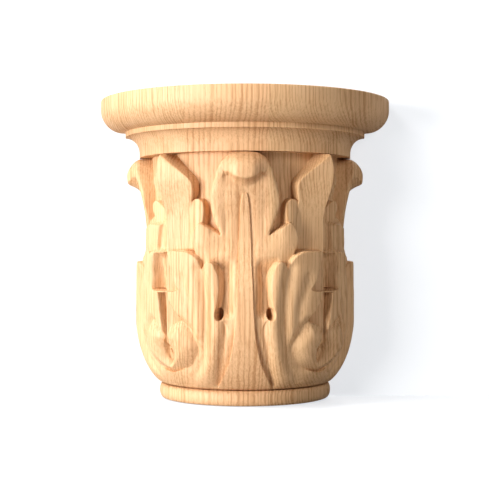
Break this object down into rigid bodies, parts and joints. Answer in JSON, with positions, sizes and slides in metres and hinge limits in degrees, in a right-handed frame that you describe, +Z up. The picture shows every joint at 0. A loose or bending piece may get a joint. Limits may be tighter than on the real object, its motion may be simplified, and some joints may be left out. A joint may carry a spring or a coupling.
{
  "type": "corinthian capital",
  "caption": "Half-round Corinthian capital of carved oak with acanthus leaves, a moulded abacus and a flat back, for the head of a half-column or as a corbel-like ornament.",
  "frame": {"origin": "under the middle of the bounding box, on the plane the bead's underside rests on", "axes": "+Z up, from the bead to the abacus; -Y is the carved front; +Y points out of the flat back, to the wall"},
  "size_m": [0.15, 0.075, 0.1532],
  "materials": {
    "oak": "sanded light oak, unvarnished, vertical grain"
  },
  "bodies": {
    "root": {"capital": "oak"}
  },
  "joints": []
}
